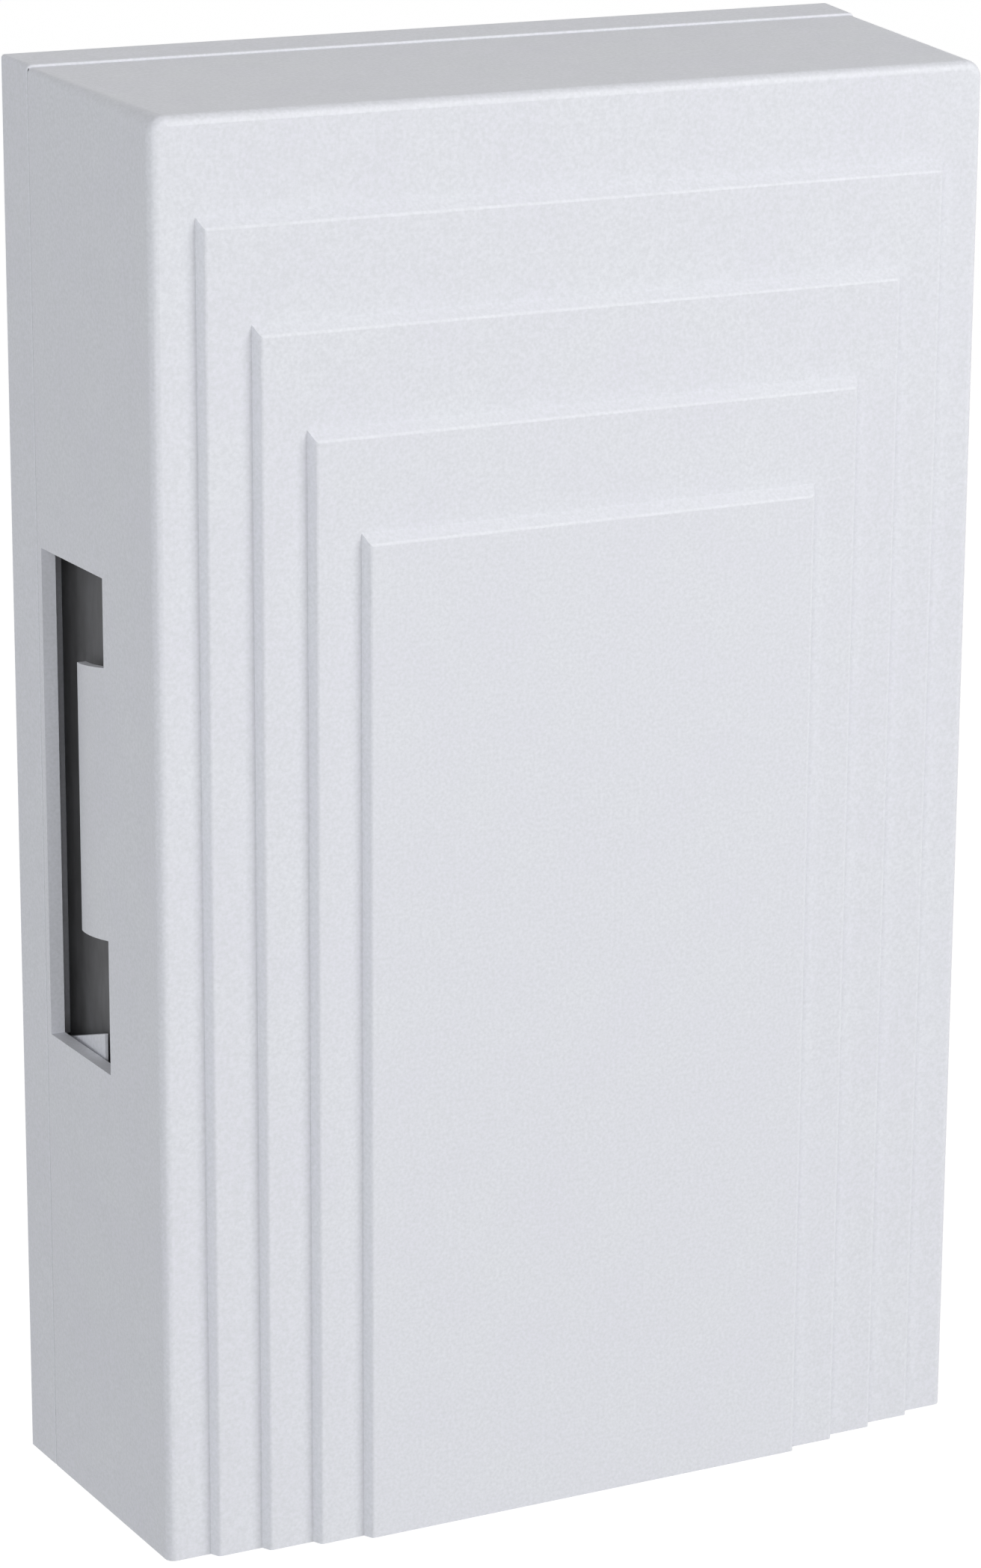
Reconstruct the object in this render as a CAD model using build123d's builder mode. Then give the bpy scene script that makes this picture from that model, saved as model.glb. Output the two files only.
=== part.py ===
from build123d import *
from math import atan2, cos, pi, sin, tan
import os

# Wired two-note doorbell chime. Millimetres. The origin is the middle of the wall face:
# +X to the right, +Y into the wall, +Z up. A depth is a distance from the wall, along -Y.

# Case
height = 198.0
width = 126.0
case_depth = 44.8
side_draft = 1.9
top_draft = 2.4
wall = 2.0
back_corner_radius = 0.5
front_corner_radius = 2.5
front_edge_radius = 1.3
rim_depth = 8.0
rim_edge_radius = 0.3
seam_groove = 0.25
seam_step = 0.4

# Stepped panels on the front, each smaller than the one it stands on
panel_count = 4
panel_rise = 1.3
panel_side_slope = 0.7
panel_top_slope = 1.4
panel_side_inset = 6.5
panel_side_pitch = 7.05
panel_top_inset = 13.6
panel_top_pitch = 14.0
panel_edge_radius = 0.6

# Sound slots in the side walls, with a tab that rolls inward
slot_height = 68.6
slot_width = 19.2
slot_land = 1.5
tab_height = 37.6
tab_reach = 13.0
tab_roll = 2.1
tab_drop = 2.45
tab_thickness = 1.2

# Tone bars, standing on edge behind the slots, with their middle a little above the case's
works_rise = 3.4
low_bar_length = 162.0
high_bar_length = 144.0
bar_width = 30.0
bar_thickness = 3.0
bar_wall_gap = 3.26
node_share = 0.2242
saddle_thickness = 1.2
saddle_height = 8.0
saddle_depth = 17.6
cheek_thickness = 1.1
cheek_reach = 19.9
cheek_root_half = 3.7
cheek_tip_half = 10.4
cheek_lead = 2.7
cheek_tip = 0.4
bar_chamfer = 0.4

# Solenoid frame
frame_length = 43.0
frame_thickness = 1.5
frame_bend_radius = 0.6
frame_corner_radius = 3.0
frame_reach = 28.0
frame_side_margin = 12.0
frame_ear = 9.0
frame_pad_height = 1.0
frame_pad_radius = 4.0
frame_screw_head_radius = 2.9
frame_screw_head_height = 2.0
frame_screw_radius = 1.4
frame_screw_length = 3.6
screw_end_gap = 0.3

# Solenoids
axis_spacing = 30.0
flange_side = 26.0
flange_thickness = 1.2
coil_radius = 12.4
bore_radius = 4.3
tube_wall = 1.2
spigot_length = 1.5
running_clearance = 0.08
seat_clearance = 0.05

# Plungers
core_length = 44.0
core_shift = 6.0
striker_radius = 2.5
striker_socket = 6.0
striker_head_radius = 5.5
striker_head_length = 5.0
striker_nose = 1.5
striker_tip_radius = 3.0
tail_head_length = 3.0
low_gap = 3.0
high_gap = 9.4

# Return springs
spring_wire = 0.5
spring_radius = 4.85
spring_turns = 6
spring_points = 10
spring_wire_sides = 6
spring_seat_gap = 0.2

# Stop for the rear plunger
stop_radius = 4.0
stop_length = 4.0
stop_gap = 0.3
stop_post_thickness = 2.0
stop_post_height = 9.0
stop_bar_gap = 2.2
stop_post_overlap = 4.8
stop_stem_radius = 1.5
stop_gusset_thickness = 1.5
stop_gusset_gap = 2.7

# Terminal block
block_width = 52.0
block_height = 12.0
block_depth = 11.0
block_drop = 12.0
barrier_thickness = 1.4
barrier_height = 2.5
terminal_pitch = 12.0
plate_size = 8.6
plate_thickness = 1.0
terminal_head_radius = 3.1
terminal_head_height = 1.9
terminal_screw_radius = 1.6
terminal_screw_length = 7.0
block_screw_inset = 3.6
block_screw_head_radius = 2.6
block_screw_head_height = 1.8
block_screw_radius = 1.4
block_screw_length = 12.4
screw_slot_width = 0.9
screw_slot_depth = 0.8

# Coil leads
lead_radius = 0.5
lead_sides = 6
lead_flange_gap = 2.8
lead_inner_share = 0.375
lead_spread = 4.0
lead_bend_drop = 15.4
lead_end_run = 5.9
lead_arc_share = 0.45

# Openings in the wall plate
wall_slot_inset = 13.0
wall_slot_width = 5.0
wall_slot_length = 9.0
wire_entry_width = 26.0
wire_entry_height = 14.0
wire_entry_gap = 6.0

# Tongues of the tray that the cover pushes over
tongue_width = 12.0
tongue_thickness = 1.4
tongue_reach = 15.0
tongue_place_share = 0.55
tongue_clearance = 0.3

fit_gap = 0.3
overrun = 1.0

os.makedirs("parts", exist_ok=True)

top = height / 2
bottom = -height / 2

# Places that several pieces share
bar_depth = wall + saddle_thickness
axis_depth = bar_depth + bar_width / 2


def finish(builder, name):
    """Label a finished piece and write it."""
    builder.part.label = name
    export_step(builder.part, f"parts/{name}.step")


def side_at(depth):
    """Outer half width of the case at a depth."""
    return width / 2 - side_draft * depth / case_depth


def top_at(depth, step=seam_step):
    """Outer top of the cover at a depth; the tray stands one step higher."""
    return top - step - (top_draft - step) * depth / case_depth


def corner_at(depth):
    """Radius between the top and a side: nearly sharp at the wall, softer at the front."""
    return back_corner_radius + (front_corner_radius - back_corner_radius) * depth / case_depth


def bar_place():
    """Distance of each tone bar's middle plane from the middle of the case."""
    return side_at(rim_depth) - wall - bar_wall_gap - bar_thickness / 2


def at_depth(depth):
    """A sketch plane that faces the room."""
    return Plane.XZ.offset(depth)


def case_outline(depth, inset, step):
    """The case in section at a depth: two rounded corners above, two sharp ones below."""
    high = top_at(depth, step) - inset
    low = bottom + inset
    with BuildSketch(at_depth(depth)) as outline:
        with Locations((0, (high + low) / 2)):
            Rectangle(2 * (side_at(depth) - inset), high - low)
        upper = outline.vertices().group_by(Axis.Y)[-1]
        fillet(upper, corner_at(depth) * (1 - inset / (2 * wall)))
    return outline.sketch


def case_block(back, front, inset=0, step=seam_step):
    """A drafted block of the case between two depths."""
    with BuildPart() as block:
        add(case_outline(back, inset, step))
        add(case_outline(front, inset, step))
        loft(ruled=True)
    return block.part


def block_between(x_range, depth_range, z_range):
    """A block given by its limits; depths count from the wall."""
    with BuildPart() as block:
        with BuildSketch(at_depth(depth_range[0])):
            with Locations((sum(x_range) / 2, sum(z_range) / 2)):
                Rectangle(x_range[1] - x_range[0], z_range[1] - z_range[0])
        extrude(amount=depth_range[1] - depth_range[0])
    return block.part


def turned(profile, z):
    """Turn a closed profile, drawn along X and out from the axis, about a solenoid's axis."""
    with BuildPart() as piece:
        with BuildSketch(Plane((0, -axis_depth, z), x_dir=(1, 0, 0), z_dir=(0, 0, 1))):
            add(profile)
        revolve(axis=Axis((0, -axis_depth, z), (1, 0, 0)))
    return piece


def panel_half(step):
    return side_at(case_depth) - panel_side_inset - panel_side_pitch * (step - 1)


def panel_top(step):
    return top_at(case_depth) - panel_top_inset - panel_top_pitch * (step - 1)


# Rolled tab: its plan is drawn along the side wall, its side view is cut afterwards
slot_back = rim_depth + slot_land
slot_front = slot_back + slot_width
wall_lean = atan2(side_draft, case_depth)
tab_foot = Plane(
    origin=(side_at(slot_front), -slot_front, 0),
    x_dir=(sin(wall_lean), cos(wall_lean), 0),
    z_dir=(0, 0, -1),
)
with BuildPart() as tab:
    with BuildSketch(tab_foot):
        with BuildLine():
            skin = TangentArc((0, 0), (tab_reach, -tab_roll), tangent=(1, 0))
            tip = skin % 1
            inner_tip = skin @ 1 + Vector(tip.Y, -tip.X) * tab_thickness
            end = Line(skin @ 1, inner_tip)
            back = TangentArc(inner_tip, (0, -tab_thickness), tangent=-tip)
            root = Line(back @ 1, (-overrun, -tab_thickness))
            step = Line(root @ 1, (-overrun, -overrun / 4))
            Line(step @ 1, skin @ 0)
        make_face()
    extrude(amount=tab_height + tab_drop, both=True)
    with BuildSketch(Plane.YZ):
        with BuildLine():
            foot = -slot_front
            tip_y = foot + tab_reach
            upper = works_rise + tab_height / 2
            lower = works_rise - tab_height / 2
            Polyline(
                (foot - overrun, lower),
                (foot, lower),
                (tip_y, lower - tab_drop),
                (tip_y, upper - tab_drop),
                (foot, upper),
                (foot - overrun, upper),
                close=True,
            )
        make_face()
    extrude(amount=width, both=True, mode=Mode.INTERSECT)

# Cover: drafted shell, stepped front, slotted side walls
shell = case_block(rim_depth + seam_groove, case_depth)
seam_lip = case_block(rim_depth, rim_depth + wall, seam_groove)
cavity = case_block(rim_depth - overrun, case_depth - wall, wall)
with BuildPart() as cover:
    add(shell)
    front_edges = cover.faces().sort_by(Axis.Y)[0].edges().sort_by(Axis.Z)[1:]
    fillet(front_edges, front_edge_radius)
    add(seam_lip)
    for step in range(1, panel_count + 1):
        base_depth = case_depth + (step - 1) * panel_rise
        for lift, side in ((0, 1), (panel_rise, -1)):
            high = panel_top(step) + side * panel_top_slope / 2
            half = panel_half(step) + side * panel_side_slope / 2
            with BuildSketch(at_depth(base_depth + lift)):
                with Locations((0, (high + bottom) / 2)):
                    Rectangle(2 * half, high - bottom)
        loft(ruled=True)
        rim_edges = cover.faces().sort_by(Axis.Y)[0].edges().sort_by(Axis.Z)[1:]
        fillet(rim_edges, panel_edge_radius)
    add(cavity, mode=Mode.SUBTRACT)
    for step in range(1, panel_count + 1):
        low = bottom + wall
        high = panel_top(step) - wall
        with BuildSketch(at_depth(case_depth - wall + (step - 1) * panel_rise)):
            with Locations((0, (high + low) / 2)):
                Rectangle(2 * (panel_half(step) - wall), high - low)
        extrude(amount=panel_rise, mode=Mode.SUBTRACT)
    with BuildSketch(Plane.YZ):
        with Locations((-(slot_back + slot_front) / 2, 0)):
            Rectangle(slot_width, slot_height)
    extrude(amount=width, both=True, mode=Mode.SUBTRACT)
    add(tab.part)
    add(tab.part.mirror(Plane.YZ))
finish(cover, "cover")

# Places of the works
bar_x = bar_place()
bar_inner = bar_x - bar_thickness / 2
low_node = (0.5 - node_share) * low_bar_length
high_node = (0.5 - node_share) * high_bar_length
holder_places = {
    "saddle_low_upper": (-bar_x, 0, works_rise + low_node),
    "saddle_low_lower": (-bar_x, 0, works_rise - low_node),
    "saddle_high_upper": (bar_x, 0, works_rise + high_node),
    "saddle_high_lower": (bar_x, 0, works_rise - high_node),
}
front_axis = works_rise - axis_spacing / 2
rear_axis = works_rise + axis_spacing / 2
frame_back = wall + frame_pad_height
frame_front = frame_back + frame_thickness
flange_half = axis_spacing / 2 + frame_side_margin
frame_half = flange_half + frame_ear
frame_screw_offset = flange_half + frame_ear / 2
stop_outer = bar_inner - stop_bar_gap
stop_inner = stop_outer - stop_post_thickness
stop_face = stop_inner - stop_length
block_top = works_rise - frame_half - block_drop
block_middle = block_top - block_height / 2
block_front = wall + block_depth
plate_front = block_front + plate_thickness
block_screw_offset = block_width / 2 - block_screw_inset
entry_top = block_top - block_height - wire_entry_gap

# Holder for a tone bar: two cheeks that fan out toward the room, with a lead-in at the tip
cheek_inner = bar_thickness / 2 + saddle_thickness
cheek_outer = cheek_inner + cheek_thickness
cheek_front = wall + cheek_reach
with BuildPart() as holder:
    with BuildSketch():
        with BuildLine():
            Polyline(
                (cheek_inner, -wall + overrun),
                (cheek_outer, -wall + overrun),
                (cheek_outer, -cheek_front),
                (cheek_outer - cheek_tip, -cheek_front),
                (cheek_inner, -cheek_front + cheek_lead),
                close=True,
            )
        make_face()
        mirror(about=Plane.YZ)
    extrude(amount=cheek_tip_half + overrun, both=True)
    with BuildSketch(Plane.YZ):
        with BuildLine():
            Polyline(
                (-wall + overrun, cheek_root_half),
                (-wall, cheek_root_half),
                (-cheek_front, cheek_tip_half),
                (-cheek_front, -cheek_tip_half),
                (-wall, -cheek_root_half),
                (-wall + overrun, -cheek_root_half),
                close=True,
            )
        make_face()
    extrude(amount=cheek_outer + overrun, both=True, mode=Mode.INTERSECT)

# Base tray: wall plate with a rim, and everything that is moulded on it
tongue_x = tongue_place_share * width / 2
tongue_z = top_at(tongue_reach) - wall - tongue_clearance
tongue_low_z = bottom + wall + tongue_clearance
with BuildPart() as base_tray:
    add(case_block(0, rim_depth, step=0))
    rim_edge = base_tray.faces().sort_by(Axis.Y)[0].edges().sort_by(Axis.Z)[-1]
    fillet(rim_edge, rim_edge_radius)
    add(case_block(wall, rim_depth + overrun, wall), mode=Mode.SUBTRACT)
    for place in holder_places.values():
        with Locations(place):
            add(holder.part)
    for x in (-tongue_x, tongue_x):
        across = (x - tongue_width / 2, x + tongue_width / 2)
        root = (wall - overrun, rim_depth - fit_gap)
        tongue = (wall - overrun, tongue_reach)
        add(block_between(across, tongue, (tongue_z - tongue_thickness, tongue_z)))
        add(block_between(across, root, (tongue_z - tongue_thickness, top_at(rim_depth) - wall / 2)))
        add(block_between(across, tongue, (tongue_low_z, tongue_low_z + tongue_thickness)))
        add(block_between(across, root, (bottom + wall / 2, tongue_low_z + tongue_thickness)))
    with BuildSketch(at_depth(wall - overrun)):
        with Locations(
            (0, works_rise - frame_screw_offset),
            (0, works_rise + frame_screw_offset),
        ):
            Circle(frame_pad_radius)
    extrude(amount=overrun + frame_pad_height)
    add(
        block_between(
            (-stop_outer, -stop_inner),
            (wall - overrun, axis_depth + stop_post_overlap),
            (rear_axis - stop_post_height / 2, rear_axis + stop_post_height / 2),
        )
    )
    with BuildSketch(Plane.XY.offset(rear_axis)):
        with BuildLine():
            Polyline(
                (-stop_inner - overrun / 2, -wall + overrun),
                (-stop_face, -wall + overrun),
                (-stop_face, -wall),
                (-stop_inner, -axis_depth + stop_radius + stop_gusset_gap),
                (-stop_inner - overrun / 2, -axis_depth + stop_radius + stop_gusset_gap),
                close=True,
            )
        make_face()
    extrude(amount=stop_gusset_thickness / 2, both=True)
    with BuildSketch(Plane.YZ.offset(-stop_outer - overrun)):
        with Locations((-axis_depth, rear_axis)):
            Circle(stop_stem_radius + seat_clearance)
    extrude(amount=stop_post_thickness + 2 * overrun, mode=Mode.SUBTRACT)
    with BuildSketch(at_depth(-overrun)):
        with Locations((0, bottom + wall_slot_inset), (0, top - wall_slot_inset)):
            SlotOverall(wall_slot_length, wall_slot_width, rotation=90)
        with Locations((0, entry_top - wire_entry_height / 2)):
            RectangleRounded(wire_entry_width, wire_entry_height, wire_entry_height / 4)
    extrude(amount=wall + 2 * overrun, mode=Mode.SUBTRACT)
    with BuildSketch(at_depth(frame_front - frame_screw_length - screw_end_gap)):
        with Locations(
            (0, works_rise - frame_screw_offset),
            (0, works_rise + frame_screw_offset),
        ):
            Circle(frame_screw_radius + seat_clearance)
    extrude(amount=frame_screw_length + overrun, mode=Mode.SUBTRACT)
    with BuildSketch(at_depth(block_front - block_screw_length - screw_end_gap)):
        with Locations((-block_screw_offset, block_middle), (block_screw_offset, block_middle)):
            Circle(block_screw_radius + seat_clearance)
    extrude(amount=block_screw_length + overrun, mode=Mode.SUBTRACT)
finish(base_tray, "base_tray")

# Tone bars: the longer one sounds lower
for name, x, length in (
    ("tone_bar_low", -bar_x, low_bar_length),
    ("tone_bar_high", bar_x, high_bar_length),
):
    with BuildPart() as tone_bar:
        add(
            block_between(
                (x - bar_thickness / 2, x + bar_thickness / 2),
                (bar_depth, bar_depth + bar_width),
                (works_rise - length / 2, works_rise + length / 2),
            )
        )
        chamfer(tone_bar.edges().filter_by(Axis.Z), bar_chamfer)
    finish(tone_bar, name)

# Rubber saddles: a U round the bar's back edge at each still point
for name, place in holder_places.items():
    with BuildPart() as saddle:
        add(
            block_between(
                (place[0] - cheek_inner, place[0] + cheek_inner),
                (wall, wall + saddle_depth),
                (place[2] - saddle_height / 2, place[2] + saddle_height / 2),
            )
        )
        add(
            block_between(
                (place[0] - bar_thickness / 2, place[0] + bar_thickness / 2),
                (bar_depth, wall + saddle_depth + overrun),
                (place[2] - saddle_height, place[2] + saddle_height),
            ),
            mode=Mode.SUBTRACT,
        )
    finish(saddle, name)

# Solenoid frame: a steel channel with an ear at each end
frame_edge = frame_length / 2
tube_radius = bore_radius + tube_wall
with BuildPart() as solenoid_frame:
    with BuildSketch(Plane.XY.offset(works_rise)) as channel:
        with Locations((0, -frame_back - frame_reach / 2)):
            Rectangle(frame_length, frame_reach)
        fillet(channel.vertices().group_by(Axis.Y)[-1], frame_bend_radius + frame_thickness)
        with BuildSketch(Plane.XY.offset(works_rise), mode=Mode.SUBTRACT) as inside:
            with Locations((0, -frame_front - frame_reach / 2)):
                Rectangle(frame_length - 2 * frame_thickness, frame_reach)
            fillet(inside.vertices().group_by(Axis.Y)[-1], frame_bend_radius)
    extrude(amount=flange_half, both=True)
    with BuildSketch(at_depth(frame_back)):
        with Locations((0, works_rise)):
            RectangleRounded(frame_length - 2 * frame_bend_radius - 2 * frame_thickness,
                             2 * frame_half, frame_corner_radius)
    extrude(amount=frame_thickness)
    with BuildSketch(at_depth(frame_back - overrun)):
        with Locations(
            (0, works_rise - frame_screw_offset),
            (0, works_rise + frame_screw_offset),
        ):
            Circle(frame_screw_radius + fit_gap)
    extrude(amount=frame_thickness + 2 * overrun, mode=Mode.SUBTRACT)
    with BuildSketch(Plane.YZ):
        with Locations((-axis_depth, front_axis), (-axis_depth, rear_axis)):
            Circle(tube_radius + seat_clearance)
    extrude(amount=frame_length, both=True, mode=Mode.SUBTRACT)
finish(solenoid_frame, "solenoid_frame")


def screw(place, head_radius, head_height, shank_radius, shank_length):
    """A slotted hexagon-head screw; the place is the middle of its seat."""
    x, depth, z = place
    with BuildPart() as piece:
        with BuildSketch(at_depth(depth)):
            with Locations((x, z)):
                RegularPolygon(head_radius, 6)
        extrude(amount=head_height)
        with BuildSketch(at_depth(depth - shank_length)):
            with Locations((x, z)):
                Circle(shank_radius)
        extrude(amount=shank_length)
        add(
            block_between(
                (x - head_radius - overrun, x + head_radius + overrun),
                (depth + head_height - screw_slot_depth, depth + head_height + overrun),
                (z - screw_slot_width / 2, z + screw_slot_width / 2),
            ),
            mode=Mode.SUBTRACT,
        )
    return piece.part


with BuildPart() as frame_screws:
    for z in (works_rise - frame_screw_offset, works_rise + frame_screw_offset):
        add(screw((0, frame_front, z), frame_screw_head_radius, frame_screw_head_height,
                  frame_screw_radius, frame_screw_length))
finish(frame_screws, "frame_screws")

# Solenoids: bobbin, winding, plunger core, strikers and return spring for each door
inner_face = frame_edge - frame_thickness
spigot_end = frame_edge + spigot_length
core_left = -core_shift - core_length / 2
core_right = -core_shift + core_length / 2
low_tip = -bar_inner + low_gap
high_tip = bar_inner - high_gap
tail_tip = -stop_face + stop_gap



def bobbin(z):
    """A moulded bobbin: a tube with a square flange inside each cheek of the frame."""
    with BuildPart() as piece:
        with BuildSketch(Plane.YZ.offset(-spigot_end)):
            with Locations((-axis_depth, z)):
                Circle(tube_radius)
        extrude(amount=2 * spigot_end)
        for x in (-inner_face, inner_face - flange_thickness):
            add(
                block_between(
                    (x, x + flange_thickness),
                    (axis_depth - flange_side / 2, axis_depth + flange_side / 2),
                    (z - flange_side / 2, z + flange_side / 2),
                )
            )
        with BuildSketch(Plane.YZ.offset(-spigot_end)):
            with Locations((-axis_depth, z)):
                Circle(bore_radius)
        extrude(amount=2 * spigot_end, mode=Mode.SUBTRACT)
    return piece


with BuildSketch() as coil_profile:
    with Locations((0, (tube_radius + coil_radius) / 2)):
        Rectangle(2 * (inner_face - flange_thickness), coil_radius - tube_radius)

with BuildSketch() as core_profile:
    core_radius = bore_radius - running_clearance
    socket_radius = striker_radius + seat_clearance
    with Locations((-core_shift, core_radius / 2)):
        Rectangle(core_length, core_radius)
    with Locations((core_left, socket_radius / 2), (core_right, socket_radius / 2)):
        Rectangle(2 * striker_socket, socket_radius, mode=Mode.SUBTRACT)


def head_profile(tip, back, rod_end):
    """Half section of a striker: a head with a blunt nose, and the rod that holds it."""
    nose_foot = tip + striker_nose if back > tip else tip - striker_nose
    with BuildSketch() as profile:
        with BuildLine():
            Polyline(
                (tip, 0),
                (tip, striker_tip_radius),
                (nose_foot, striker_head_radius),
                (back, striker_head_radius),
                (back, striker_radius),
                (rod_end, striker_radius),
                (rod_end, 0),
                close=True,
            )
        make_face()
    return profile.sketch


def return_spring(start, end, z):
    """An open compression spring of short straight runs, mitred where they meet."""
    turn = 2 * pi / spring_points
    rise = (end - start) / (spring_turns * spring_points)
    points = []
    for count in range(spring_turns * spring_points + 1):
        points.append(
            Vector(
                start + rise * count,
                -axis_depth + spring_radius * cos(turn * count),
                z + spring_radius * sin(turn * count),
            )
        )
    with BuildPart() as spring:
        with BuildLine() as wire:
            Polyline(*points)
        with BuildSketch(Plane(points[0], z_dir=points[1] - points[0])):
            RegularPolygon(spring_wire / 2, spring_wire_sides)
        sweep(path=wire.line, transition=Transition.RIGHT)
    print("spring: pitch", round(abs(rise) * spring_points, 2), "mm")
    return spring


spring_end = -spigot_end - spring_seat_gap - spring_wire / 2
low_back = low_tip + striker_head_length
tail_back = tail_tip + tail_head_length
for door, z, left_name, left_tip, left_back in (
    ("front", front_axis, "front_striker_low", low_tip, low_back),
    ("rear", rear_axis, "rear_tail", tail_tip, tail_back),
):
    finish(bobbin(z), f"{door}_bobbin")
    finish(turned(coil_profile.sketch, z), f"{door}_coil")
    finish(turned(core_profile.sketch, z), f"{door}_core")
    left = head_profile(left_tip, left_back, core_left + striker_socket)
    finish(turned(left, z), left_name)
    right = head_profile(high_tip, high_tip - striker_head_length, core_right - striker_socket)
    finish(turned(right, z), f"{door}_striker_high")
    spring_start = left_back + spring_seat_gap + spring_wire / 2
    finish(return_spring(spring_start, spring_end, z), f"{door}_spring")

# Rubber stop that the rear plunger's tail rests on, pushed into its post by a stem
with BuildSketch() as stop_profile:
    with Locations(((-stop_inner - stop_face) / 2, stop_radius / 2)):
        Rectangle(stop_length, stop_radius)
    with Locations(((-stop_outer - stop_inner) / 2, stop_stem_radius / 2)):
        Rectangle(stop_post_thickness, stop_stem_radius)
finish(turned(stop_profile.sketch, rear_axis), "stop_buffer")

# Terminal block with three clamp plates between barriers
terminal_places = (-terminal_pitch, 0, terminal_pitch)
block_z = (block_middle - block_height / 2, block_middle + block_height / 2)
with BuildPart() as terminal_block:
    add(block_between((-block_width / 2, block_width / 2), (wall, block_front), block_z))
    for place in range(4):
        x = (place - 1.5) * terminal_pitch
        across = (x - barrier_thickness / 2, x + barrier_thickness / 2)
        add(block_between(across, (block_front - overrun, block_front + barrier_height), block_z))
    with BuildSketch(at_depth(plate_front - terminal_screw_length - screw_end_gap)):
        with Locations(*[(x, block_middle) for x in terminal_places]):
            Circle(terminal_screw_radius + seat_clearance)
    extrude(amount=terminal_screw_length + overrun, mode=Mode.SUBTRACT)
    with BuildSketch(at_depth(wall - overrun)):
        with Locations((-block_screw_offset, block_middle), (block_screw_offset, block_middle)):
            Circle(block_screw_radius + seat_clearance)
    extrude(amount=block_depth + 2 * overrun, mode=Mode.SUBTRACT)
finish(terminal_block, "terminal_block")

with BuildPart() as terminal_plates:
    for x in terminal_places:
        add(
            block_between(
                (x - plate_size / 2, x + plate_size / 2),
                (block_front, plate_front),
                (block_middle - plate_size / 2, block_middle + plate_size / 2),
            )
        )
    with BuildSketch(at_depth(block_front - overrun)):
        with Locations(*[(x, block_middle) for x in terminal_places]):
            Circle(terminal_screw_radius + seat_clearance)
    extrude(amount=plate_thickness + 2 * overrun, mode=Mode.SUBTRACT)
finish(terminal_plates, "terminal_plates")

with BuildPart() as terminal_screws:
    for x in terminal_places:
        add(screw((x, plate_front, block_middle), terminal_head_radius, terminal_head_height,
                  terminal_screw_radius, terminal_screw_length))
finish(terminal_screws, "terminal_screws")

with BuildPart() as block_screws:
    for x in (-block_screw_offset, block_screw_offset):
        add(screw((x, block_front, block_middle), block_screw_head_radius,
                  block_screw_head_height, block_screw_radius, block_screw_length))
finish(block_screws, "block_screws")


def coil_lead(name, start_x, start_z, end_x):
    """A sleeved lead: down the face of the coils, then back onto its clamp plate."""
    start_depth = axis_depth + coil_radius + lead_radius + seat_clearance
    end_depth = plate_front + lead_radius
    end_z = block_middle + terminal_head_radius + seat_clearance
    bend_z = front_axis - lead_bend_drop
    route = [
        Vector(start_x, -start_depth, start_z),
        Vector(start_x, -start_depth, bend_z),
        Vector(end_x, -end_depth, end_z + lead_end_run),
        Vector(end_x, -end_depth, end_z),
    ]
    runs = [after - before for before, after in zip(route, route[1:])]
    radii = []
    for before, after in zip(runs, runs[1:]):
        half_turn = before.get_angle(after) * pi / 360
        radii.append(lead_arc_share * min(before.length, after.length) / tan(half_turn))
    print(name, "bend radii", [round(radius, 1) for radius in radii], "mm")
    with BuildPart() as lead:
        with BuildLine():
            FilletPolyline(*route, radius=radii)
        with BuildSketch(Plane(route[0], z_dir=runs[0])):
            RegularPolygon(lead_radius, lead_sides, rotation=180 / lead_sides)
        sweep()
    finish(lead, name)


lead_outer = inner_face - flange_thickness - lead_flange_gap
lead_inner = lead_inner_share * lead_outer
coil_lead("lead_front", -lead_outer, front_axis, -terminal_pitch)
coil_lead("lead_front_common", -lead_inner, front_axis, -lead_spread / 2)
coil_lead("lead_rear_common", lead_inner, rear_axis, lead_spread / 2)
coil_lead("lead_rear", lead_outer, rear_axis, terminal_pitch)
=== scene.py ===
"""Looks of a wired two-note doorbell chime, laid over its packed construction."""

import math

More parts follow.
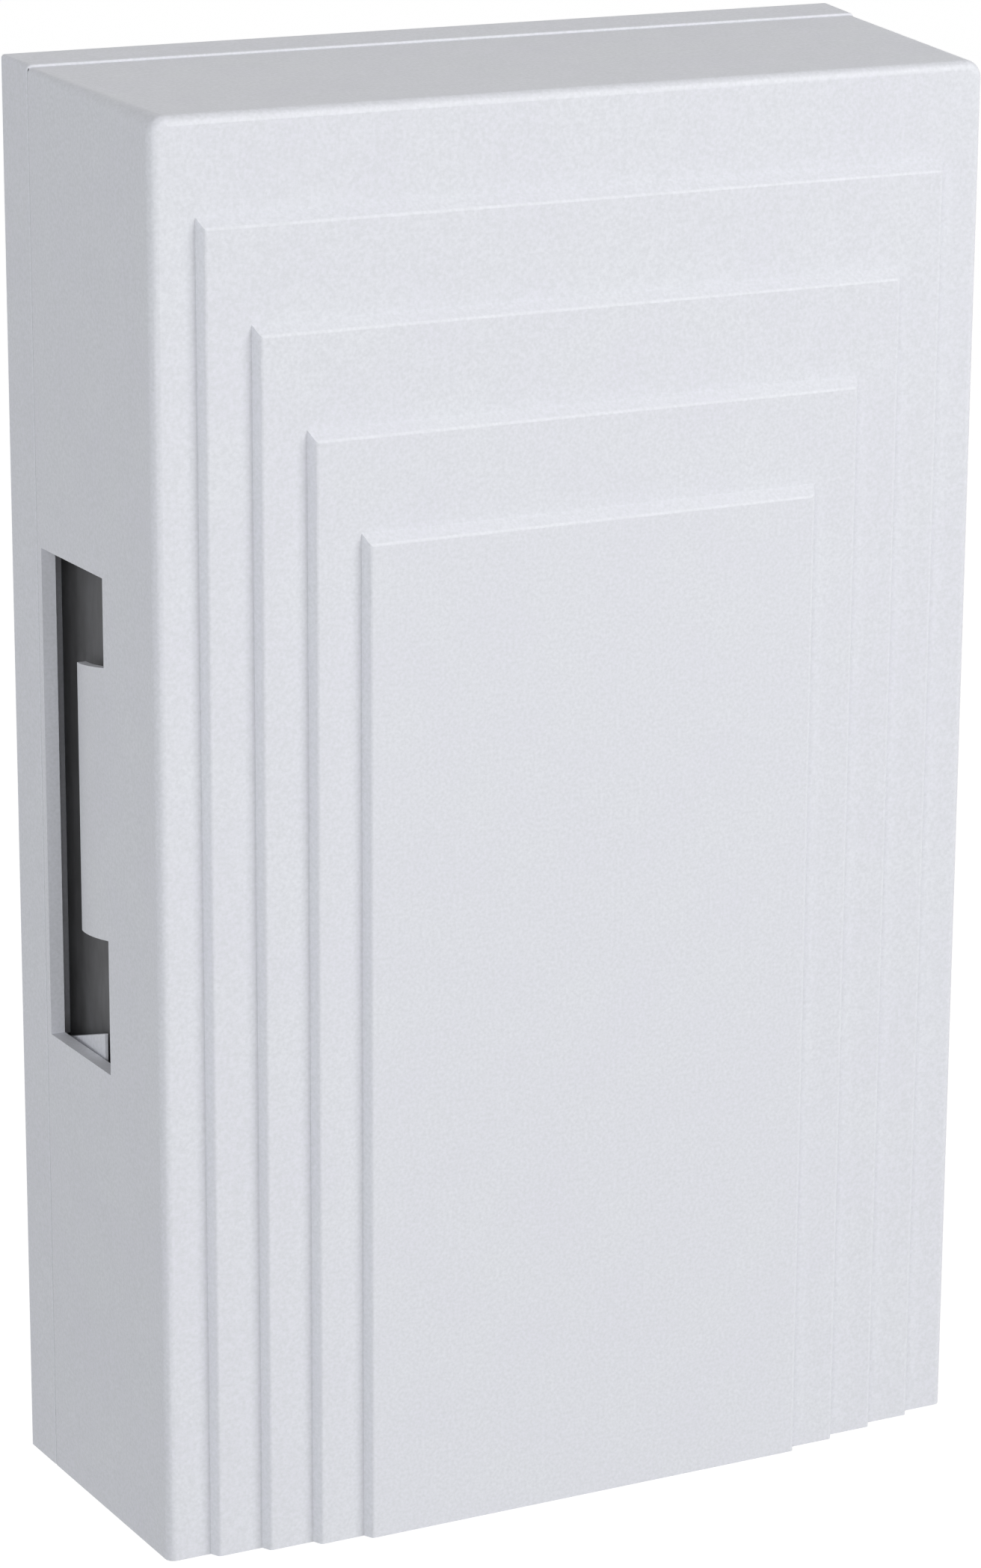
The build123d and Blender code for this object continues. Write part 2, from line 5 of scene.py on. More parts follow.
import bpy
from bpy.props import FloatProperty, FloatVectorProperty, IntProperty, PointerProperty
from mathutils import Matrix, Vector


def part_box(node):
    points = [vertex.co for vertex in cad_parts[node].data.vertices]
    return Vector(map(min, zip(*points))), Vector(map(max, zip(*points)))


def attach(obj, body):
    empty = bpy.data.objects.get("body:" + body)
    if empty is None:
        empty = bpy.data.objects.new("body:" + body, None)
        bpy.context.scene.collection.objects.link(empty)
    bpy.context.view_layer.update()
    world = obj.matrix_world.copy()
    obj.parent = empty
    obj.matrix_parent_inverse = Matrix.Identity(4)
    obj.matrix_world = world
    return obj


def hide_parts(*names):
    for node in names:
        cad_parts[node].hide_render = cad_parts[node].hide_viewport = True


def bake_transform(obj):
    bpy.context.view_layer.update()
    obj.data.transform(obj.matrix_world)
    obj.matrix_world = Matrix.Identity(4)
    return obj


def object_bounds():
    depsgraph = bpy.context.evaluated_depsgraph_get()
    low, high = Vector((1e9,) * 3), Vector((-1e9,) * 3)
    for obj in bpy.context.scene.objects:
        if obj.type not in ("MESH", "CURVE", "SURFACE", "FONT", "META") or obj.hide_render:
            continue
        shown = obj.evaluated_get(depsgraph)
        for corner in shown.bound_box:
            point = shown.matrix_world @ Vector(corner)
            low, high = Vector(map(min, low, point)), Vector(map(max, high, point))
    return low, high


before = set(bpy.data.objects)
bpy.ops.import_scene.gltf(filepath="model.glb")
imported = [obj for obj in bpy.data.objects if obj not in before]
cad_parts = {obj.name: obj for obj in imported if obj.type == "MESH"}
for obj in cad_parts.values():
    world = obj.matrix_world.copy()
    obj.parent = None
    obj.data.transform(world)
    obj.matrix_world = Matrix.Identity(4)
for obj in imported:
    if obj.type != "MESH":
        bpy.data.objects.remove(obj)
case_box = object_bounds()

bl_info = {
    "name": "Doorbell chime box",
    "version": (1, 0, 0),
    "blender": (4, 5, 0),
    "location": "View3D > Sidebar > Chime",
    "description": "Finishes of a wired two-note doorbell chime and its studio",
    "category": "Object",
}

MM = 0.001

# How finely the round pieces are divided
SPRING_POINTS_PER_TURN = 32
SPRING_SIDES = 10
SLEEVE_SIDES = 16
STRAND_SIDES = 12
WINDING_SIDES = 72
TAPE_SIDES = 96
CORNER_STEPS = 8
CORNER_ROOM_SHARE = 0.45
RIDGE_SHARES = (0.0, 0.25, 0.5, 0.75)
TAPE_LAYERS = 1.5
SHARP_ANGLE = math.radians(50)

# Grey values between which nearly all of a noise lies
NOISE_LOW = 0.3
NOISE_HIGH = 0.7

# How far in, and how far to each side of its middle, the joint down a side is darkened with painted
# shade
SEAM_DEPTH_SHARE = 1.4
SEAM_REACH_SHARE = 0.6

# Sockets of a Mix node that is set to colours
MIX_AMOUNT = 0
MIX_FIRST = 6
MIX_SECOND = 7
MIX_RESULT = 2

# Lights: the setting that holds each one's power, its place in metres and its tone
LAMPS = (
    ("key", (0.9, -0.9, 0.6), (1.0, 1.0, 1.0)),
    ("fill", (-0.75, -1.05, 0.3), (0.97, 0.985, 1.0)),
    ("side", (-1.25, -0.15, 0.15), (0.93, 0.965, 1.0)),
    ("rim", (-0.45, 0.55, 0.85), (1.0, 1.0, 1.0)),
)

# Background: a strength of 1 is white; the floor's glow is only for the rays that see it
SKY_WHITE = 1.0
FLOOR_REACH = 6.0
FLOOR_GLOW = 1.55
FLOOR_GLOW_SHARE = 0.6

# Camera: its place in metres, its turn in degrees, its lens and sensor in millimetres
CAMERA_PLACE = (-300.99 * MM, -612.54 * MM, 189.64 * MM)
CAMERA_TURN = (73.7776, -0.2720, -26.8171)
CAMERA_LENS = 114.04
CAMERA_SENSOR = 36.0


def colour(name, description, default):
    """A colour setting, in the linear values that the shaders use."""
    return FloatVectorProperty(
        name=name, description=description, subtype="COLOR", size=3, min=0, max=1, default=default
    )


def length(name, description, default):
    """A length setting, in metres."""
    return FloatProperty(
        name=name, description=description, subtype="DISTANCE", unit="LENGTH", default=default
    )


def power(name, description, default):
    """A light's power setting, in watts."""
    return FloatProperty(name=name, description=description, unit="POWER", default=default)


class ChimeFinishes(bpy.types.PropertyGroup):
    """Colours of the chime's pieces"""

    abs_white: colour("ABS white", "Moulded cover and tray", (0.775, 0.787, 0.825))
    bar_grey: colour("Bar grey", "Rolled steel of the tone bars", (0.14, 0.14, 0.145))
    bar_oxide: colour("Bar oxide", "Darker mill scale on the bars", (0.105, 0.104, 0.106))
    rubber_black: colour("Rubber black", "Bar saddles and tail stop", (0.02, 0.02, 0.022))
    zinc: colour("Zinc", "Plated frame and screws", (0.62, 0.63, 0.65))
    bobbin_black: colour("Bobbin black", "Moulded coil formers", (0.03, 0.03, 0.033))
    copper: colour("Enamelled copper", "Wire of the windings", (0.50, 0.18, 0.06))
    tape: colour("Tape", "Polyester tape round the windings", (0.85, 0.62, 0.12))
    nylon: colour("Nylon", "Strikers and tail", (0.80, 0.78, 0.70))
    brass: colour("Brass", "Clamp plates and their screws", (0.80, 0.58, 0.24))
    block_black: colour("Block black", "Moulded terminal block", (0.015, 0.015, 0.016))
    sleeve_red: colour("Sleeve red", "Lead of the front door's coil", (0.45, 0.03, 0.02))
    sleeve_blue: colour("Sleeve blue", "Lead of the rear door's coil", (0.03, 0.09, 0.38))
    sleeve_black: colour("Sleeve black", "Common leads of both coils", (0.02, 0.02, 0.022))
    tin: colour("Tin", "Bare ends of the leads", (0.72, 0.70, 0.66))


class ChimeSizes(bpy.types.PropertyGroup):
    """Sizes of the fine work that the finishes add"""

    grain: length("Mould grain", "Spacing of the case's fine mould texture", 0.45 * MM)
    grain_depth: length("Grain depth", "Height of the mould texture", 0.025 * MM)
    # The joint's darkness, laid on in the case's finish, is painted shade.
    seam: length("Side seam", "Width of the dark joint of cover and tray", 0.25 * MM)
    wire: length("Winding wire", "Diameter of the enamelled wire", 0.45 * MM)
    bobbin_wall: length("Bobbin wall", "From a core's skin to its winding", 1.3 * MM)
    tape_width: length("Tape width", "Width of the tape round each winding", 26 * MM)
    tape_thickness: length("Tape thickness", "Thickness of one turn of tape", 0.12 * MM)
    spring_wire: length("Spring wire", "Diameter of the return springs' wire", 0.5 * MM)
    spring_turns: IntProperty(
        name="Spring turns", description="Turns of each return spring", default=6
    )
    sleeve: length("Sleeve", "Outer diameter of the leads' sleeving", 1.0 * MM)
    lead_core: length("Lead core", "Diameter of the leads' bare ends", 0.6 * MM)
    lead_strip: length("Bare end", "Length of wire left bare at each terminal", 2.2 * MM)
    lead_tuck: length("Tucked end", "Length of the bare wire modelled in its sleeve", 1.0 * MM)
    lead_bend: length("Lead bend", "Bend radius of the leads", 5 * MM)
    lead_run: length("Lead run", "Length of each lead's straight end at its terminal", 5.9 * MM)
    lead_dip: length("Lead dip", "Depth at which each lead leaves the winding's tape", 1.2 * MM)
    lead_exit: length("Lead exit", "Length over which a lead comes out of the tape", 4 * MM)
    lead_drop: length("Lead drop", "From the lower winding to the leads' bend", 3 * MM)


class StudioSettings(bpy.types.PropertyGroup):
    """Lights and floor of the studio"""

    key: power("Key", "Power of the right light", 13.3)
    fill: power("Fill", "Power of the front light", 5.8)
    side: power("Side", "Power of the left light", 2.35)
    rim: power("Rim", "Power of the light above and behind", 1.0)
    lamp_size: length("Lamp size", "Side of each square light", 0.7)
    ambient: FloatProperty(name="Ambient", description="Strength of the even light", default=0.2)
    paper: colour("Paper", "The pale floor", (0.55, 0.55, 0.55))
    floor_drop: length("Floor drop", "Distance of the floor below the chime", 300 * MM)


class Finish:
    """One material under construction: a plain shader and the few nodes that feed it."""

    def __init__(self, name, base, roughness=0.5, metallic=0.0):
        self.material = bpy.data.materials.new(name)
        self.material.use_nodes = True
        self.tree = self.material.node_tree
        self.shader = self.tree.nodes["Principled BSDF"]
        self.shader.inputs["Base Color"].default_value = (*base, 1)
        self.shader.inputs["Roughness"].default_value = roughness
        self.shader.inputs["Metallic"].default_value = metallic
        self.base = base

    def node(self, kind, **inputs):
        """A new node; its inputs are values or sockets, with _ for a space in their names."""
        node = self.tree.nodes.new(kind)
        for name, value in inputs.items():
            self.plug(value, node.inputs[name.replace("_", " ")])
        return node

    def plug(self, value, socket):
        if isinstance(value, bpy.types.NodeSocket):
            self.tree.links.new(value, socket)
        else:
            socket.default_value = value

    def noise(self, size, detail=2, stretch=(1, 1, 1)):
        """Grey noise whose lumps are about so large, in metres, and longer where stretched."""
        place = self.node("ShaderNodeTexCoord")
        scaled = self.node("ShaderNodeMapping", Vector=place.outputs["Object"])
        scaled.inputs["Scale"].default_value = [1 / (size * share) for share in stretch]
        cloud = self.node(
            "ShaderNodeTexNoise", Vector=scaled.outputs["Vector"], Scale=1.0, Detail=detail
        )
        return cloud.outputs["Fac"]

    def spread(self, value, low=0, high=1):
        """Map a noise to a range."""
        spread = self.node("ShaderNodeMapRange", Value=value, From_Min=NOISE_LOW,
                           From_Max=NOISE_HIGH, To_Min=low, To_Max=high)
        return spread.outputs["Result"]

    def calculate(self, operation, *values):
        """The result of one sum on values or sockets."""
        node = self.tree.nodes.new("ShaderNodeMath")
        node.operation = operation
        for value, socket in zip(values, node.inputs):
            self.plug(value, socket)
        return node.outputs["Value"]

    def blend(self, amount, first, second):
        """Mix two colours, which may be sockets, by a grey value."""
        mix = self.tree.nodes.new("ShaderNodeMix")
        mix.data_type = "RGBA"
        self.plug(amount, mix.inputs[MIX_AMOUNT])
        for paint, place in ((first, MIX_FIRST), (second, MIX_SECOND)):
            ready = isinstance(paint, bpy.types.NodeSocket)
            self.plug(paint if ready else (*paint, 1), mix.inputs[place])
        return mix.outputs[MIX_RESULT]

    def paint(self, value):
        self.plug(value, self.shader.inputs["Base Color"])

    def patches(self, second, size, **noise):
        """Let the colour drift toward another, in patches of about a size."""
        self.paint(self.blend(self.spread(self.noise(size, **noise)), self.base, second))

    def gloss(self, low, high, size, **noise):
        """Let the roughness drift between two values, in patches of about a size."""
        value = self.spread(self.noise(size, **noise), low, high)
        self.plug(value, self.shader.inputs["Roughness"])

    def relief(self, depth, size, **noise):
        """Raise the surface in lumps of about a size; the depth is in metres."""
        bump = self.node("ShaderNodeBump", Height=self.noise(size, **noise), Distance=depth)
        self.plug(bump.outputs["Normal"], self.shader.inputs["Normal"])

    def coat(self, *nodes):
        """Give the finish to carried-over pieces."""
        for name in nodes:
            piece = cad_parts[name]
            piece.data.materials.clear()
            piece.data.materials.append(self.material)


def tinted(base, shares):
    """A colour with each of its channels taken at a share."""
    return tuple(channel * share for channel, share in zip(base, shares))


def shaded(base, share):
    """A colour made darker by a share under 1, or lighter by one over it."""
    return tinted(base, (share, share, share))


def nodes_named(*words):
    """Nodes whose names hold one of the words."""
    return [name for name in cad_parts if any(word in name for word in words)]


class CHIME_OT_case(bpy.types.Operator):
    """Give the cover and the tray their moulded white finish, with painted shade in the joint down
    each side
    """

    bl_idname = "chime.case"
    bl_label = "Case"

    def execute(self, context):
        sizes = context.scene.chime_sizes
        white = context.scene.chime_finishes.abs_white
        lilac = tinted(white, (0.985, 0.965, 1.0))
        moulded = Finish("moulded_white_abs", white)
        cloud = moulded.spread(moulded.noise(size=10 * MM, detail=3), high=0.8)
        fleck = moulded.spread(moulded.noise(size=sizes.grain))
        clouded = moulded.blend(cloud, white, lilac)
        flecked = moulded.blend(fleck, clouded, shaded(white, 0.9))
        joint = self.side_joint_shade(moulded, sizes.seam)
        # painted shade: the joint down each side is darkened to near black, standing in for the
        # shade deep in the gap
        moulded.paint(moulded.blend(joint, flecked, shaded(white, 0.08)))
        moulded.gloss(low=0.46, high=0.54, size=3 * MM)
        moulded.relief(depth=sizes.grain_depth, size=sizes.grain, detail=3)
        moulded.coat("cover", "base_tray")
        return {"FINISHED"}

    def side_joint_shade(self, finish, seam):
        """One in the fine joint down each side, where shade is painted, and nought elsewhere."""
        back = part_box("cover")[1]
        place = finish.node("ShaderNodeTexCoord")
        axes = finish.node("ShaderNodeSeparateXYZ", Vector=place.outputs["Object"])
        across = finish.calculate("ABSOLUTE", axes.outputs["X"])
        outside = finish.calculate("GREATER_THAN", across, back.x - SEAM_DEPTH_SHARE * seam)
        inside = finish.calculate("COMPARE", axes.outputs["Y"], back.y - seam / 2,
                                  SEAM_REACH_SHARE * seam)
        return finish.calculate("MULTIPLY", outside, inside)


class CHIME_OT_bars(bpy.types.Operator):
    """Give the tone bars their rolled steel finish"""

    bl_idname = "chime.bars"
    bl_label = "Tone bars"

    def execute(self, context):
        finishes = context.scene.chime_finishes
        steel = Finish("rolled_bar_steel", finishes.bar_grey, metallic=0.15)
        steel.patches(finishes.bar_oxide, size=3 * MM, detail=4, stretch=(1, 1, 2))
        steel.gloss(low=0.52, high=0.68, size=1 * MM, detail=3, stretch=(1, 1, 4))
        steel.relief(depth=0.008 * MM, size=0.4 * MM, detail=3, stretch=(1, 1, 3))
        steel.coat("tone_bar_low", "tone_bar_high")
        return {"FINISHED"}


class CHIME_OT_rubber(bpy.types.Operator):
    """Give the saddles and the tail stop their rubber finish"""

    bl_idname = "chime.rubber"
    bl_label = "Saddles and stop"

    def execute(self, context):
        black = context.scene.chime_finishes.rubber_black
        rubber = Finish("black_rubber", black, roughness=0.75)
        rubber.patches(shaded(black, 2), size=4 * MM)
        rubber.relief(depth=0.01 * MM, size=0.3 * MM)
        rubber.coat(*nodes_named("saddle_", "stop_buffer"))
        return {"FINISHED"}


class CHIME_OT_steelwork(bpy.types.Operator):
    """Give the solenoid frame, the cores and the screws their plated finishes"""

    bl_idname = "chime.steelwork"
    bl_label = "Steelwork"

    def execute(self, context):
        zinc = context.scene.chime_finishes.zinc
        plate = Finish("zinc_plate", zinc, metallic=1.0)
        plate.patches(shaded(zinc, 0.8), size=6 * MM, detail=4)
        plate.gloss(low=0.28, high=0.45, size=2 * MM, detail=3)
        plate.relief(depth=0.004 * MM, size=0.4 * MM, detail=3, stretch=(1, 6, 1))
        plate.coat("solenoid_frame", "frame_screws", "block_screws")
        ground = Finish("ground_steel", shaded(zinc, 0.85), metallic=1.0)
        ground.gloss(low=0.2, high=0.32, size=3 * MM)
        ground.relief(depth=0.003 * MM, size=0.2 * MM, stretch=(1, 20, 20))
        ground.coat("front_core", "rear_core")
        return {"FINISHED"}


class CHIME_OT_springs(bpy.types.Operator):
    """Wind the return springs"""

    bl_idname = "chime.springs"
    bl_label = "Return springs"

    def execute(self, context):
        grey = shaded(context.scene.chime_finishes.zinc, 0.7)
        steel = Finish("spring_wire", grey, metallic=1.0)
        steel.patches(shaded(grey, 0.8), size=4 * MM)
        steel.gloss(low=0.18, high=0.3, size=1 * MM)
        for door in ("front", "rear"):
            self.wind(door, context.scene.chime_sizes, steel.material)
        return {"FINISHED"}

    def wind(self, door, sizes, steel):
        """One spring, round the plunger's line, from its striker to its bobbin."""
        low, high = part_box(f"{door}_spring")
        axis = (low + high) / 2
        half = sizes.spring_wire / 2
        radius = (high.y - low.y) / 2 - half
        start = low.x + half
        run = high.x - half - start
        steps = sizes.spring_turns * SPRING_POINTS_PER_TURN
        route = []
        for step in range(steps + 1):
            angle = 2 * math.pi * sizes.spring_turns * step / steps
            route.append(Vector((start + run * step / steps,
                                 axis.y - radius * math.cos(angle),
                                 axis.z + radius * math.sin(angle))))
        spring = tube(f"{door}_return_spring", route, half, SPRING_SIDES, steel)
        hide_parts(f"{door}_spring")
        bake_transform(spring)


class CHIME_OT_mouldings(bpy.types.Operator):
    """Give the bobbins, the strikers and the terminal block their plastic finishes"""

    bl_idname = "chime.mouldings"
    bl_label = "Small mouldings"

    def execute(self, context):
        finishes = context.scene.chime_finishes
        former = Finish("bobbin_plastic", finishes.bobbin_black)
        former.gloss(low=0.34, high=0.46, size=5 * MM)
        former.relief(depth=0.008 * MM, size=0.5 * MM)
        former.coat("front_bobbin", "rear_bobbin")
        nylon = Finish("striker_nylon", finishes.nylon, roughness=0.3)
        nylon.shader.inputs["Subsurface Weight"].default_value = 0.15
        nylon.shader.inputs["Subsurface Scale"].default_value = 2 * MM
        nylon.patches(shaded(finishes.nylon, 0.93), size=5 * MM)
        nylon.relief(depth=0.006 * MM, size=0.8 * MM)
        nylon.coat(*nodes_named("striker", "rear_tail"))
        block = Finish("block_plastic", finishes.block_black)
        block.gloss(low=0.18, high=0.32, size=4 * MM, detail=3)
        block.relief(depth=0.01 * MM, size=1.5 * MM)
        block.coat("terminal_block")
        return {"FINISHED"}


class CHIME_OT_terminals(bpy.types.Operator):
    """Give the clamp plates and their screws their brass finish"""

    bl_idname = "chime.terminals"
    bl_label = "Terminals"

    def execute(self, context):
        gold = context.scene.chime_finishes.brass
        brass = Finish("bright_brass", gold, metallic=1.0)
        brass.patches(shaded(gold, 0.75), size=2 * MM, detail=4)
        brass.gloss(low=0.2, high=0.4, size=1.5 * MM, detail=3)
        brass.relief(depth=0.004 * MM, size=0.3 * MM, detail=3)
        brass.coat("terminal_plates", "terminal_screws")
        return {"FINISHED"}


class CHIME_OT_leads(bpy.types.Operator):
    """Give the coil leads their coloured sleeving and their bare ends"""

    bl_idname = "chime.leads"
    bl_label = "Leads"

    def execute(self, context):
        finishes = context.scene.chime_finishes
        sleeving = {
            "red": (finishes.sleeve_red, ["lead_front"]),
            "blue": (finishes.sleeve_blue, ["lead_rear"]),
            "black": (finishes.sleeve_black, ["lead_front_common", "lead_rear_common"]),
        }
        tinned = Finish("tinned_strands", finishes.tin, roughness=0.35, metallic=1.0)
        tinned.relief(depth=0.02 * MM, size=0.12 * MM, detail=1, stretch=(1, 1, 12))
        for word, (base, leads) in sleeving.items():
            sleeve = Finish(f"{word}_sleeving", base, roughness=0.4)
            sleeve.patches(shaded(base, 0.8), size=3 * MM)
            sleeve.relief(depth=0.01 * MM, size=0.25 * MM)
            for lead in leads:
                self.lay(lead, f"lead_{word}", context.scene.chime_sizes,
                         sleeve.material, tinned.material)
        return {"FINISHED"}

    def lay(self, lead, slot, sizes, sleeve, tinned):
        """One lead, out from under the tape, down the coils and back to its clamp plate."""
        low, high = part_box(lead)
        half = sizes.sleeve / 2
        end_x, start_x = sorted((low.x + half, high.x - half), key=abs)
        front = low.y + half
        back = high.y - half
        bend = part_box("front_coil")[0].z - sizes.lead_drop
        bare = low.z + sizes.lead_strip
        route = rounded([
            Vector((start_x, front + sizes.lead_dip, high.z)),
            Vector((start_x, front, high.z - sizes.lead_exit)),
            Vector((start_x, front, bend)),
            Vector((end_x, back, low.z + sizes.lead_run)),
            Vector((end_x, back, low.z)),
        ], sizes.lead_bend)
        sleeved = [point for point in route if point.z > bare]
        sleeved.append(Vector((end_x, back, bare)))
        cover = tube(f"{lead}_sleeve", sleeved, half, SLEEVE_SIDES, sleeve)
        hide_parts(lead)
        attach(cover, "base")
        strands = tube(f"{lead}_end", [Vector((end_x, back, bare + sizes.lead_tuck)), route[-1]],
                       sizes.lead_core / 2, STRAND_SIDES, tinned)
        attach(strands, "base")


class CHIME_OT_windings(bpy.types.Operator):
    """Wind each coil with enamelled wire and a band of tape"""

    bl_idname = "chime.windings"
    bl_label = "Windings"

    def execute(self, context):
        finishes = context.scene.chime_finishes
        wire = Finish("enamelled_copper", finishes.copper, roughness=0.25, metallic=0.7)
        wire.shader.inputs["Coat Weight"].default_value = 0.6
        wire.patches(shaded(finishes.copper, 0.7), size=3 * MM, detail=3)
        tape = Finish("winding_tape", finishes.tape, roughness=0.3)
        tape.shader.inputs["Coat Weight"].default_value = 0.3
        tape.patches(shaded(finishes.tape, 0.85), size=8 * MM)
        tape.relief(depth=0.05 * MM, size=3 * MM, stretch=(1, 3, 3))
        for door in ("front", "rear"):
            self.wind(door, context.scene.chime_sizes, wire.material, tape.material)
        return {"FINISHED"}

    def wind(self, door, sizes, wire, tape):
        """One winding, as a ring whose skin has a ridge for each turn, with a tape band on it."""
        low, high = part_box(f"{door}_coil")
        core_low, core_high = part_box(f"{door}_core")
        axis = (low + high) / 2
        outer = (high.z - low.z) / 2
        inner = (core_high.z - core_low.z) / 2 + sizes.bobbin_wall
        turns = int((high.x - low.x) / sizes.wire)
        pitch = (high.x - low.x) / turns
        skin = outer - sizes.tape_thickness * TAPE_LAYERS
        profile = [(low.x, inner)]
        for turn in range(turns):
            for share in RIDGE_SHARES:
                bulge = math.sin(share * math.pi) * pitch / 2
                profile.append((low.x + (turn + share) * pitch, skin - pitch / 2 + bulge))
        profile += [(high.x, skin - pitch / 2), (high.x, inner)]
        winding = revolved(f"{door}_winding", profile, axis, WINDING_SIDES, wire)
        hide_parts(f"{door}_coil")
        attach(winding, "base")
        half = sizes.tape_width / 2
        edge = sizes.tape_thickness / 4
        band = [
            (axis.x - half, skin - edge),
            (axis.x - half, outer - edge),
            (axis.x - half + edge, outer),
            (axis.x + half - edge, outer),
            (axis.x + half, outer - edge),
            (axis.x + half, skin - edge),
        ]
        wrap = revolved(f"{door}_tape", band, axis, TAPE_SIDES, tape)
        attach(wrap, "base")


def revolved(name, profile, axis, sides, material):
    """A ring: a closed profile of (x, radius) points turned about a line along X."""
    points = []
    faces = []
    count = len(profile)
    for side in range(sides):
        angle = 2 * math.pi * side / sides
        for x, radius in profile:
            points.append((x, axis.y + radius * math.cos(angle), axis.z + radius * math.sin(angle)))
        after = (side + 1) % sides
        for place in range(count):
            nearby = (place + 1) % count
            faces.append((side * count + place, side * count + nearby,
                          after * count + nearby, after * count + place))
    return meshed(name, points, faces, material)


def rounded(route, radius):
    """A route whose corners are arcs of the radius, or of what room its runs leave."""
    points = [route[0]]
    for before, corner, after in zip(route, route[1:], route[2:]):
        back = before - corner
        ahead = after - corner
        half_turn = (math.pi - back.angle(ahead)) / 2
        room = CORNER_ROOM_SHARE * min(back.length, ahead.length)
        reach = min(radius * math.tan(half_turn), room)
        first = corner + back.normalized() * reach
        last = corner + ahead.normalized() * reach
        for step in range(CORNER_STEPS + 1):
            share = step / CORNER_STEPS
            points.append(first.lerp(corner, share).lerp(corner.lerp(last, share), share))
    points.append(route[-1])
    return points


def tube(name, route, radius, sides, material):
    """A round tube along a route of points, closed at both ends."""
    heading = (route[1] - route[0]).normalized()
    across = heading.orthogonal().normalized()
    points = []
    for place, point in enumerate(route):
        before = route[max(place - 1, 0)]
        after = route[min(place + 1, len(route) - 1)]
        turned = (after - before).normalized()
        across = heading.rotation_difference(turned) @ across
        heading = turned
        side = heading.cross(across)
        for step in range(sides):
            angle = 2 * math.pi * step / sides
            points.append(point + radius * (math.cos(angle) * across + math.sin(angle) * side))
    faces = [tuple(range(sides - 1, -1, -1)),
             tuple(range(len(points) - sides, len(points)))]
    for ring in range(len(route) - 1):
        for step in range(sides):
            nearby = (step + 1) % sides
            faces.append((ring * sides + step, ring * sides + nearby,
                          (ring + 1) * sides + nearby, (ring + 1) * sides + step))
    return meshed(name, points, faces, material)


def meshed(name, points, faces, material):
    """A piece of smooth skin, sharp only where it turns by more than SHARP_ANGLE."""
    mesh = bpy.data.meshes.new(name)
    mesh.from_pydata(points, [], faces)
    mesh.validate()
    for face in mesh.polygons:
        face.use_smooth = True
    mesh.set_sharp_from_angle(angle=SHARP_ANGLE)
    mesh.materials.append(material)
    piece = bpy.data.objects.new(name, mesh)
    bpy.context.scene.collection.objects.link(piece)
    return piece


def seen_rays(tree):
    """One for the rays that see the background: the camera's, and those off metal or glass."""
    path = tree.nodes.new("ShaderNodeLightPath")
    total = path.outputs["Is Camera Ray"]
    for kind in ("Is Glossy Ray", "Is Transmission Ray"):
        either = tree.nodes.new("ShaderNodeMath")
        either.operation = "MAXIMUM"
        tree.links.new(total, either.inputs[0])
        tree.links.new(path.outputs[kind], either.inputs[1])
        total = either.outputs["Value"]
    return total


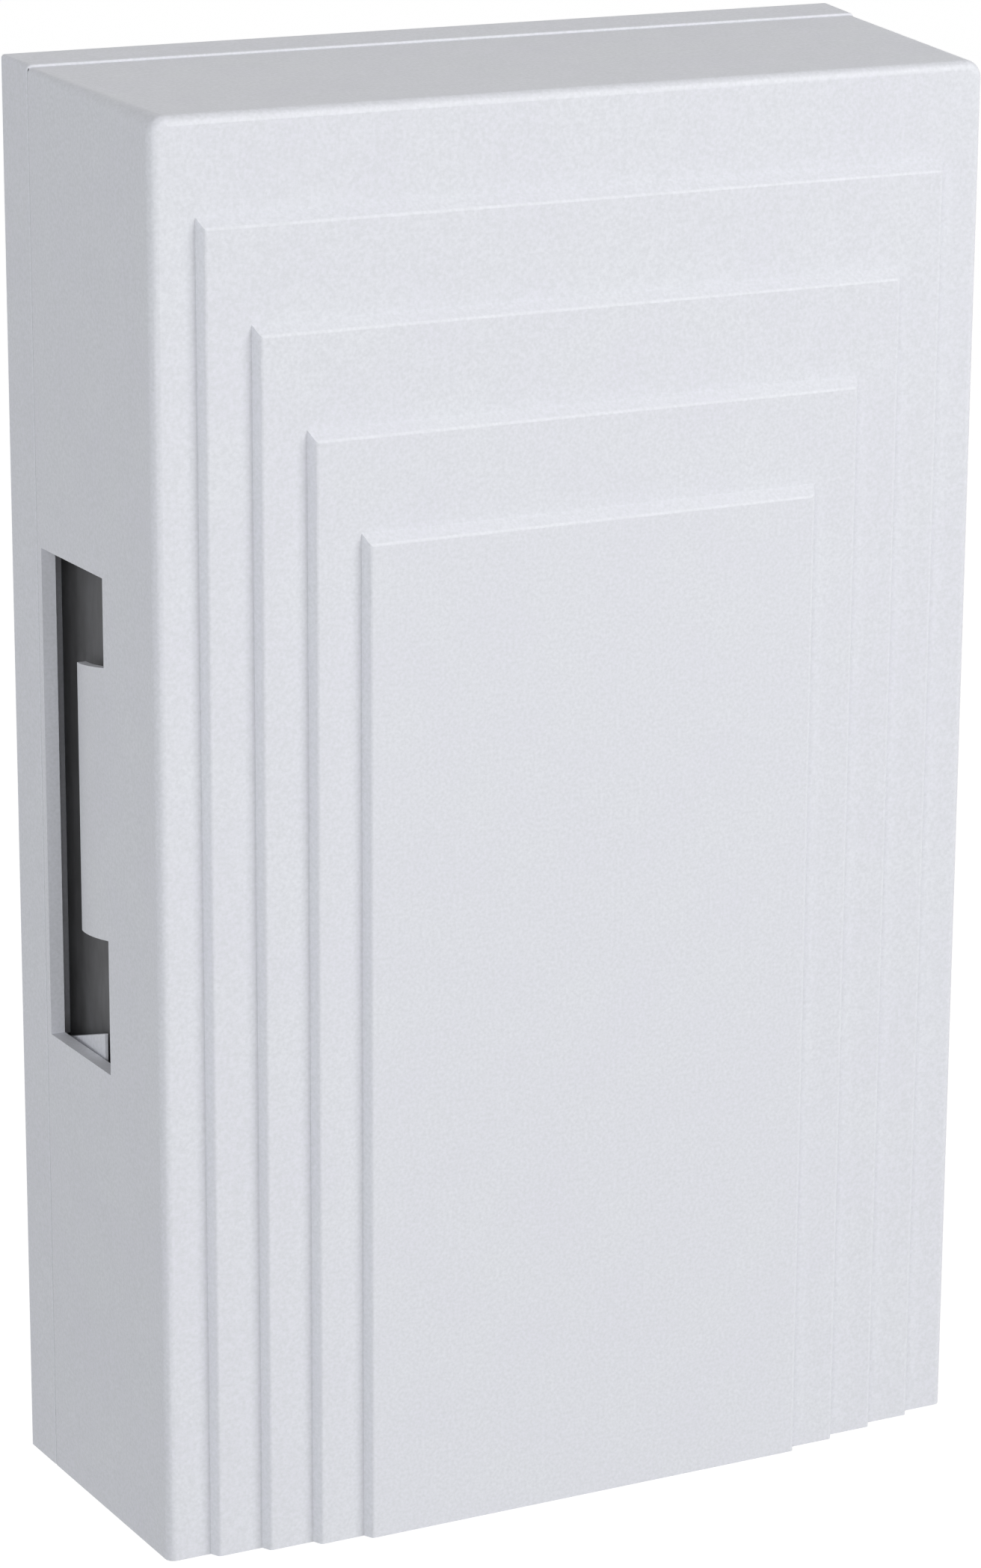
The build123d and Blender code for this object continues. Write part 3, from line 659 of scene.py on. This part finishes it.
class CHIME_OT_stage(bpy.types.Operator):
    """Set up the floor, the lights and the camera"""

    bl_idname = "chime.stage"
    bl_label = "Stage"

    def execute(self, context):
        scene = context.scene
        studio = scene.studio_settings
        low, high = case_box
        middle = Vector((low[i] + high[i]) / 2 for i in range(3))
        self.world(scene, studio.ambient)
        self.floor(scene, low[2] - studio.floor_drop, studio.paper)
        for setting, place, tone in LAMPS:
            self.lamp(scene, f"{setting}_light", Vector(place), middle,
                      getattr(studio, setting), tone)
        self.camera(scene)
        scene.view_settings.view_transform = "Standard"
        return {"FINISHED"}

    def world(self, scene, ambient):
        """Even white light on the object, and plain white wherever the view meets the sky."""
        world = bpy.data.worlds.new("studio_world")
        world.use_nodes = True
        tree = world.node_tree
        sky = tree.nodes["Background"]
        sky.inputs["Color"].default_value = (1, 1, 1, 1)
        seen = tree.nodes.new("ShaderNodeMapRange")
        seen.inputs["To Min"].default_value = ambient
        seen.inputs["To Max"].default_value = SKY_WHITE
        tree.links.new(seen_rays(tree), seen.inputs["Value"])
        tree.links.new(seen.outputs["Result"], sky.inputs["Strength"])
        scene.world = world

    def floor(self, scene, height, tone):
        """A wide pale floor: it reads as white, and still takes the chime's shadow."""
        mesh = bpy.data.meshes.new("studio_floor")
        mesh.from_pydata(
            [(-FLOOR_REACH, -FLOOR_REACH, height), (FLOOR_REACH, -FLOOR_REACH, height),
             (FLOOR_REACH, FLOOR_REACH, height), (-FLOOR_REACH, FLOOR_REACH, height)],
            [], [(0, 1, 2, 3)],
        )
        floor = bpy.data.objects.new("studio_floor", mesh)
        paper = Finish("pale_paper", tone, roughness=0.9)
        tree = paper.tree
        glow = tree.nodes.new("ShaderNodeEmission")
        glow.inputs["Strength"].default_value = FLOOR_GLOW
        mix = tree.nodes.new("ShaderNodeMixShader")
        out = tree.nodes["Material Output"]
        share = paper.node("ShaderNodeMapRange", Value=seen_rays(tree), To_Max=FLOOR_GLOW_SHARE)
        tree.links.new(share.outputs["Result"], mix.inputs["Fac"])
        tree.links.new(paper.shader.outputs["BSDF"], mix.inputs[1])
        tree.links.new(glow.outputs["Emission"], mix.inputs[2])
        tree.links.new(mix.outputs["Shader"], out.inputs["Surface"])
        mesh.materials.append(paper.material)
        scene.collection.objects.link(floor)

    def lamp(self, scene, name, place, target, watts, tone):
        """A soft square lamp that faces the chime."""
        light = bpy.data.lights.new(name, "AREA")
        light.shape = "SQUARE"
        light.size = scene.studio_settings.lamp_size
        light.energy = watts
        light.color = tone
        lamp = bpy.data.objects.new(name, light)
        lamp.location = place
        lamp.rotation_euler = (target - place).to_track_quat("-Z", "Y").to_euler()
        scene.collection.objects.link(lamp)

    def camera(self, scene):
        """The photograph's own view: in front of the chime, to its left and above."""
        lens = bpy.data.cameras.new("camera")
        lens.sensor_width = CAMERA_SENSOR
        lens.lens = CAMERA_LENS
        camera = bpy.data.objects.new("camera", lens)
        camera.location = CAMERA_PLACE
        camera.rotation_euler = [math.radians(angle) for angle in CAMERA_TURN]
        scene.collection.objects.link(camera)
        scene.camera = camera


OPERATORS = (
    CHIME_OT_case, CHIME_OT_bars, CHIME_OT_rubber, CHIME_OT_steelwork, CHIME_OT_springs,
    CHIME_OT_mouldings, CHIME_OT_terminals, CHIME_OT_leads, CHIME_OT_windings, CHIME_OT_stage,
)


class CHIME_PT_panel(bpy.types.Panel):
    """Lists the chime's operators"""

    bl_idname = "CHIME_PT_panel"
    bl_label = "Doorbell chime"
    bl_space_type = "VIEW_3D"
    bl_region_type = "UI"
    bl_category = "Chime"

    def draw(self, context):
        for operator in OPERATORS:
            self.layout.operator(operator.bl_idname)


SETTINGS = {
    "chime_finishes": ChimeFinishes,
    "chime_sizes": ChimeSizes,
    "studio_settings": StudioSettings,
}


def register():
    for name, group in SETTINGS.items():
        bpy.utils.register_class(group)
        setattr(bpy.types.Scene, name, PointerProperty(type=group))
    for kind in (*OPERATORS, CHIME_PT_panel):
        bpy.utils.register_class(kind)


def unregister():
    for kind in reversed((*OPERATORS, CHIME_PT_panel)):
        bpy.utils.unregister_class(kind)
    for name, group in SETTINGS.items():
        delattr(bpy.types.Scene, name)
        bpy.utils.unregister_class(group)


def main():
    """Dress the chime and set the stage."""
    register()
    for operator in OPERATORS:
        getattr(bpy.ops.chime, operator.bl_idname.split(".")[1])()


if __name__ == "__main__":
    main()
